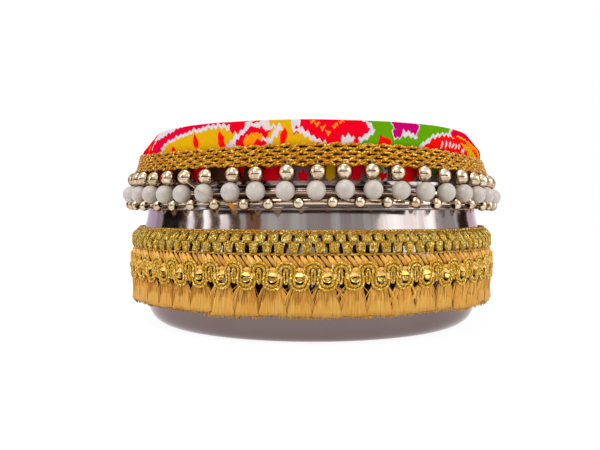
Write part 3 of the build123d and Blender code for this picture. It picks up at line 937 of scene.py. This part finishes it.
def silk_slants():
    shapes = Shapes()
    count = wave_count * slants_per_wave
    step = 360 / count
    share = np.linspace(0, 1, 9)
    belly = np.sin(np.pi * np.clip(share, 0.02, 0.98)) ** 0.55
    for index in range(count):
        # Two of the four spindles of a wave lie forward and are fuller; the two set back take the darker silk_mid
        # copy, a painted shade
        forward = 1.0 if index % slants_per_wave in (1, 2) else 0.0
        full = (0.78 + 0.24 * forward) * vary(0.92, 1.06)
        angle = front_sequin_angle + index * step + vary(-0.12, 0.12)
        lean = step * 1.35 + vary(-0.1, 0.1)
        path = around(
            face_radius - 0.15 + belly * 0.25 + forward * 0.3,
            angle + (share - 0.5) * lean * 1.25,
            slant_high + 0.25 - share * (slant_high - slant_low + 0.7 + forward * 0.3),
        )
        shapes.add(tube(path, 0.3 + belly * 0.88 * full, 0.2 + belly * 0.6 * full, sides=8),
                   tint=0 if forward else 1)
    # A silk knob over each sequin
    turn = np.linspace(-math.pi / 2, math.pi / 2, 9)[1:-1]
    knob = small_tube(1.5 * np.sin(turn), 0 * turn, 0.25 * np.cos(turn), 0.85 * np.cos(turn))
    for wave in range(wave_count):
        angle = wave_angle(wave) + vary(-0.2, 0.2)
        place = around(wave_radius + 0.2, angle, sequin_height + sequin_radius + 0.55)
        shapes.add(knob, turned_to(angle, (0, vary(-12, 12), 0)), place)
    make_piece("silk_slant_row", shapes, "box", ["lace_silk_slants"], "silk", silk, silk_mid)


def wave_path(share, inset):
    """Across and up along one wave of the gimp, from arch top to arch top."""
    pitch = 2 * math.pi * wave_radius / wave_count
    middle, reach = (wave_low + wave_high) / 2 + 0.2, (wave_high - wave_low) / 2 - 0.9
    turn = 2 * np.pi * share
    across = pitch * (share - 0.5) + wave_lean * np.sin(2 * turn)
    up = middle + reach * np.cos(turn)
    ahead = unit(np.stack([np.gradient(across), np.gradient(up)], -1))
    return across - ahead[:, 1] * inset, up + ahead[:, 0] * inset


def gimp_waves():
    shapes = Shapes()
    share = np.linspace(0, 1, 49)
    for inset, out in ((-wave_strand_gap, 0.1), (0.0, -0.7), (wave_strand_gap, 0.1)):
        across, up = wave_path(share, inset)
        turn = np.degrees(across[:-1] / wave_radius)
        angle = np.concatenate([wave_angle(wave) + turn for wave in range(wave_count)])
        path = around(wave_radius + out, angle, np.tile(up[:-1], wave_count))
        shapes.add_cord(path, gimp_lay, gimp_ply, wave_count * gimp_twists, sides=6)
    # The small closed loop inside each arch
    turn = once_round(24, 2 * np.pi)
    for wave in range(wave_count):
        centre = wave_angle(wave + 0.5) + vary(-0.15, 0.15)
        across = np.degrees(loop_half_width * np.cos(turn) / wave_radius)
        path = around(wave_radius, centre + across, loop_height + loop_half_height * np.sin(turn))
        shapes.add_cord(path, 0.24, 0.40, 7, sides=6)
    make_piece("gimp_wave_cord", shapes, "box", ["lace_gimp_waves"], "tinsel", gimp)


def half_disc(radius, upper, sides=14):
    """A thin half disc in the plane y = 0, its straight edge on x, slightly dished."""
    turn = np.linspace(0, math.pi, sides)
    rim = np.stack([radius * np.cos(turn), 0 * turn, (1 if upper else -1) * radius * np.sin(turn)], -1)
    inner = rim * 0.55 + (0, -0.14, 0)
    centre = rim * (0.55, 0, 0) + (0, -0.05, 0)
    front = np.concatenate([rim, inner, centre])
    points = np.concatenate([front, front + (0, 0.16, 0)])

    def quad(start, up, flip):
        face = (start, start + 1, start + 1 + up, start + up)
        return face[::-1] if flip else face

    faces = [quad(start + ring * sides + index, sides, (start > 0) != upper)
             for start in (0, len(front)) for ring in range(2) for index in range(sides - 1)]
    faces += [quad(index, len(front), upper) for index in range(sides - 1)]
    return points, [faces]


def sequins():
    shapes = Shapes()
    leaf = half_disc(sequin_leaf_radius, True)
    for wave in range(wave_count):
        angle = wave_angle(wave)
        place = around(wave_radius + 0.7, angle, sequin_height)
        side = random.choice((-1, 1))
        # The lower half of each sequin, folded under the upper one, takes a darker copy of its material: painted
        # shade
        for upper, fold, share, up in ((True, -26, 1.08, 0.2), (False, -5, 0.98, -0.2)):
            turn = turned_to(angle + vary(-6, 6), (fold + vary(-8, 8), vary(-10, 10), 0))
            shapes.add(half_disc(sequin_radius * share, upper), turn, place + (0, 0, up), tint=0 if upper else 1)
        turn = turned_to(angle, (vary(-15, 10), 90 * side, 0))
        shapes.add(leaf, turn, around(wave_radius + 0.9, angle + side * 1.45, sequin_height + vary(-0.3, 0.3)))
    make_piece("sequin_row", shapes, "box", ["lace_sequins"], "sequin", sequin, sequin_painted_shade)


# Tassels

def tassel_core(width_top, width_low, height, depth):
    """The dense middle of a tassel, facing -Y, hanging down from z = 0."""
    rows, sides = 8, 16
    share = np.linspace(0, 1, rows)[:, None]
    turn = once_round(sides, 2 * np.pi)
    width = width_top + (width_low - width_top) * share**0.85
    groove = 1 + 0.05 * np.sin(turn * 5)
    x = width / 2 * np.sign(np.cos(turn)) * np.abs(np.cos(turn)) ** 0.7 * groove
    y = depth * (1 - 0.25 * share) / 2 * np.sin(turn) * groove
    ragged = share**4 * vary(-0.5, 0.3, (1, sides))
    return ring_stack(x, y, -share * height + ragged)


def tassels():
    shapes = Shapes()
    pitch = 2 * math.pi * face_radius / wave_count
    share = np.linspace(0, 1, 7)
    for wave in range(wave_count):
        centre = wave_angle(wave)
        length = tassel_top - tassel_low + vary(-1.1, 0.4)
        width_low = pitch * vary(1.12, 1.48)
        sway, layer = vary(-1.0, 1.0), vary(-0.3, 0.2)
        core = tassel_core(tassel_head_width * 0.68, width_low * 0.80, length - 1.4, 1.0)
        place = around(face_radius, centre, tassel_top)
        shapes.add(core, turned_to(centre + math.degrees(sway * 0.4 / face_radius), (-3.5, 0, 0)), place, tint=1)
        # Strands hang in wisps that lean across each other
        wisp_tint = random.choice(3, tassel_wisps, p=(0.60, 0.27, 0.13))
        wisp_lean = random.normal(0, 0.10, tassel_wisps)
        wisp_front = vary(-0.12, 0.18, tassel_wisps)
        wisp_length = vary(-0.6, 0.3, tassel_wisps)
        for strand in range(tassel_strands):
            start = vary(-0.5, 0.5)
            wisp = int((start + 0.5) * tassel_wisps)
            end = start + wisp_lean[wisp] + random.normal(0, 0.04 if strand % 9 else 0.25)
            reach = length * vary(0.94, 1.02) + wisp_length[wisp]
            head = start * tassel_head_width
            across = head + (end * width_low * 1.05 + sway - head) * share**0.8
            curl = vary(0.05, 0.30)
            across = across + np.sin(share * math.pi * 1.7 + vary(0, 6)) * share * curl
            front = vary(0.45, 0.85) + wisp_front[wisp] if strand % 7 else -0.5
            edge = 1 - 0.35 * (2 * start) ** 2
            out = face_radius + layer * share + front * edge + (0.45 * np.sin(math.pi * share) - 1.1 * share**1.3)
            path = around(out, centre + np.degrees(across / face_radius), tassel_top - share * reach)
            tint = int(wisp_tint[wisp] if strand % 4 else random.choice(3, p=(0.5, 0.3, 0.2)))
            shapes.add(tube(path, tassel_strand_radius - 0.07 * share, sides=3), tint=tint)
    make_piece("tassel_row", shapes, "box", ["tassels"], "silk", silk, silk_mid, silk_deep)


# Studio

# Cards that the steel and the beads mirror: first and last angle, low and high edge and tone
card_distance = 1.0
CARDS = [
    (-175, -119, 0.0, 0.5, (0.92, 0.76, 1.0)), (-116, -93, 0.0, 0.30, (0.02, 0.012, 0.008)),
    (-93, -87, 0.0, 0.75, (0.14, 0.06, 0.03)), (-82, -73.5, 0.0, 0.75, (0.14, 0.06, 0.03)),
    (-68, -60.5, 0.0, 0.75, (0.16, 0.07, 0.035)), (-54, -46, 0.0, 0.75, (0.18, 0.08, 0.04)),
    (-42, -32, 0.0, 0.5, (0.55, 0.26, 0.15)), (-31, 39, 0.0, 0.055, (0.80, 0.64, 0.58)),
    (-62, 62, 0.055, 0.08, (0.45, 0.30, 0.22)), (-62, 62, 0.08, 0.25, (0.06, 0.03, 0.02)),
    (69, 70.5, 0.0, 0.25, (0.22, 0.10, 0.04)), (78, 79.5, 0.0, 0.25, (0.22, 0.10, 0.04)),
    (95, 97, 0.0, 0.25, (0.16, 0.07, 0.03)), (112, 128, 0.0, 0.30, (0.06, 0.025, 0.015)),
    (130, 175, 0.0, 0.5, (1.2, 0.98, 1.08)),
]
# Lamps: name, place, size and power. All shine at the middle of the box
LAMPS = [
    ("key", (-0.35, -0.75, 1.15), 0.6, 6.5), ("left", (-1.1, -0.38, 0.42), 0.75, 4.2),
    ("right", (1.05, -0.45, 0.42), 0.95, 6.2), ("top", (0, 0.3, 1.3), 0.8, 4),
    ("back", (0.2, 1.05, 0.8), 0.8, 3.2),
]
lamp_target = Vector((0, 0, 0.05))
floor_half_size = 3.0
world_light = 0.40
floor_glow = 1.26
floor_glow_share = 0.72
WHITE = (1, 1, 1)


def area_lamp(name, place, size, power):
    data = bpy.data.lights.new(name, "AREA")
    data.size, data.energy = size, power
    lamp = bpy.data.objects.new(name, data)
    lamp.location = place
    lamp.rotation_euler = (lamp_target - Vector(place)).to_track_quat("-Z", "Y").to_euler()
    bpy.context.scene.collection.objects.link(lamp)


def stage_mesh(name, points, faces, material):
    mesh = bpy.data.meshes.new(name)
    mesh.from_pydata(points, [], faces)
    mesh.materials.append(material)
    piece = bpy.data.objects.new(name, mesh)
    bpy.context.scene.collection.objects.link(piece)
    return piece


def stage_card(name, start, end, low, high, colour):
    """A curved card round the box that only mirrors see, from one angle to another."""
    turn = np.radians(np.linspace(start, end, 25))
    ring = [(math.sin(t) * card_distance, -math.cos(t) * card_distance) for t in turn]
    points = [(x, y, z) for z in (low, high) for x, y in ring]
    count = len(ring)
    faces = [(k, k + 1, k + 1 + count, k + count) for k in range(count - 1)]
    look = Look(name)
    look.show(look.node("Emission", {"Color": colour, "Strength": 1.0}))
    card = stage_mesh(name, points, faces, look.material)
    card.visible_camera = card.visible_diffuse = card.visible_shadow = False


def ray_is(tree, *kinds):
    """Whether the ray that meets the surface is of one of these kinds."""
    path = add_node(tree, "LightPath").outputs
    rays = [Field(tree, path[f"Is {kind} Ray"]) for kind in kinds]
    share = rays[0]
    for ray in rays[1:]:
        share = share.calc("MAXIMUM", ray)
    return share


def studio_world():
    """Plain light for the object, and white where the camera or a mirror looks past it."""
    world = bpy.data.worlds.new("studio")
    bpy.context.scene.world = world
    world.use_nodes = True
    tree = world.node_tree
    soft = tree.nodes["Background"]
    join(tree, soft.inputs["Color"], WHITE)
    join(tree, soft.inputs["Strength"], world_light)
    seen = add_node(tree, "Background", {"Color": WHITE})
    shaders = {1: Field(tree, soft.outputs[0]), 2: Field(tree, seen.outputs[0])}
    mixed = add_node(tree, "MixShader", {0: ray_is(tree, "Camera", "Glossy", "Transmission"), **shaders})
    tree.links.new(mixed.outputs[0], tree.nodes["World Output"].inputs["Surface"])


def studio_floor():
    look = Look("floor", Roughness=0.9, Specular_IOR_Level=0.1)
    look.put("Base Color", (0.82, 0.82, 0.82))
    glow = look.field("Emission", {"Color": WHITE, "Strength": floor_glow})
    share = ray_is(look.tree, "Camera", "Glossy") * floor_glow_share
    look.show(look.node("MixShader", {0: share, 1: Field(look.tree, look.shader.outputs[0]), 2: glow}))
    half = floor_half_size
    stage_mesh("floor", [(-half, -half, 0), (half, -half, 0), (half, half, 0), (-half, half, 0)],
               [(0, 1, 2, 3)], look.material)


def photo_camera():
    data = bpy.data.cameras.new("camera")
    data.lens, data.sensor_width = camera_lens, 36
    camera = bpy.data.objects.new("camera", data)
    camera.location = (0, -camera_distance * MM, camera_height * MM)
    camera.rotation_euler = (math.radians(90 - camera_tilt_down), 0, math.radians(camera_turn_left))
    bpy.context.scene.collection.objects.link(camera)
    bpy.context.scene.camera = camera


steel = steel_look()
ikat = ikat_look()
antique_gold = metal_thread_look(
    "antique_gold_braid", (0.20, 0.065, 0.002), (0.73, 0.31, 0.010), (1.0, 0.68, 0.12), 0.5, 0.40, 0.55)
braid_shade = metal_thread_look(
    "braid_shade_ring", (0.030, 0.012, 0.003), (0.055, 0.024, 0.005), (0.08, 0.04, 0.01), 0.6, 0.8, 0.0)
tinsel = metal_thread_look(
    "tinsel", (0.15, 0.065, 0.004), (0.88, 0.52, 0.040), (1.0, 0.93, 0.42), 0.40, 0.28, 0.6)
orange_cord = metal_thread_look(
    "tinsel_cord", (0.26, 0.09, 0.005), (0.74, 0.40, 0.03), (1.0, 0.80, 0.30), 0.45, 0.40, 0.5)
gimp = metal_thread_look(
    "gimp", (0.30, 0.13, 0.006), (0.82, 0.46, 0.030), (1.0, 0.86, 0.32), 0.4, 0.38, 0.55, (92.2, 92.6))
silk = silk_look("silk", 1.12)
silk_mid = silk_look("silk_mid", 0.86)
silk_deep = silk_look("silk_deep", 0.60)
gold = patchy_look(
    "gold_bead", [(0.74, 0.63, 0.49), (0.43, 0.29, 0.15)], (2.2, 3, 0.35, 0.7), (0.9, 3, 0.35, 0.75, 0.05, 0.14),
    (1.6, 1, 0.04, 0.2), Metallic=1.0, Specular_Tint=(0.24, 0.10, 0.015))
bead_hole_shade = plain_thread_look("bead_hole_shade", (0.02, 0.010, 0.004), (0.06, 0.030, 0.010))
pearl = patchy_look(
    "pearl", [(0.52, 0.455, 0.395), (0.60, 0.54, 0.48)], (3.0, 3, 0.35, 0.65), (3.0, 3, 0.3, 0.7, 0.34, 0.46),
    (1.1, 2, 0.03, 0.2), Specular_IOR_Level=0.35, Coat_Weight=0.4, Coat_Roughness=0.16)
plain_thread = plain_thread_look("thread", (0.34, 0.20, 0.10), (0.62, 0.46, 0.30))
fuzz = plain_thread_look("fuzz", (0.45, 0.14, 0.01), (0.80, 0.36, 0.06))
sequin = patchy_look(
    "sequin", [(0.84, 0.50, 0.11), (0.95, 0.66, 0.22)], (1.4, 2, 0.3, 0.7), (1.4, 2, 0.3, 0.7, 0.2, 0.32),
    (0.8, 2, 0.04, 0.4), Metallic=0.6, Specular_Tint=(0.9, 0.5, 0.15))
sequin_painted_shade = patchy_look(
    "sequin_painted_shade", [(0.20, 0.09, 0.01), (0.75, 0.48, 0.12)], (1.4, 2, 0.3, 0.7), (1.4, 2, 0.3, 0.7, 0.08, 0.20),
    (0.8, 2, 0.04, 0.4), Metallic=0.95, Specular_Tint=(0.9, 0.5, 0.15))

steel_box()
steel_lid()
fabric_cover()
woven_braid()
bead_fringe()
lace_cords()
lace_blocks()
silk_slants()
gimp_waves()
sequins()
tassels()

bpy.context.scene.view_settings.view_transform = "Standard"
studio_world()
studio_floor()
for lamp in LAMPS:
    area_lamp(*lamp)
for index, card in enumerate(CARDS):
    stage_card(f"card_{index}", *card)
photo_camera()
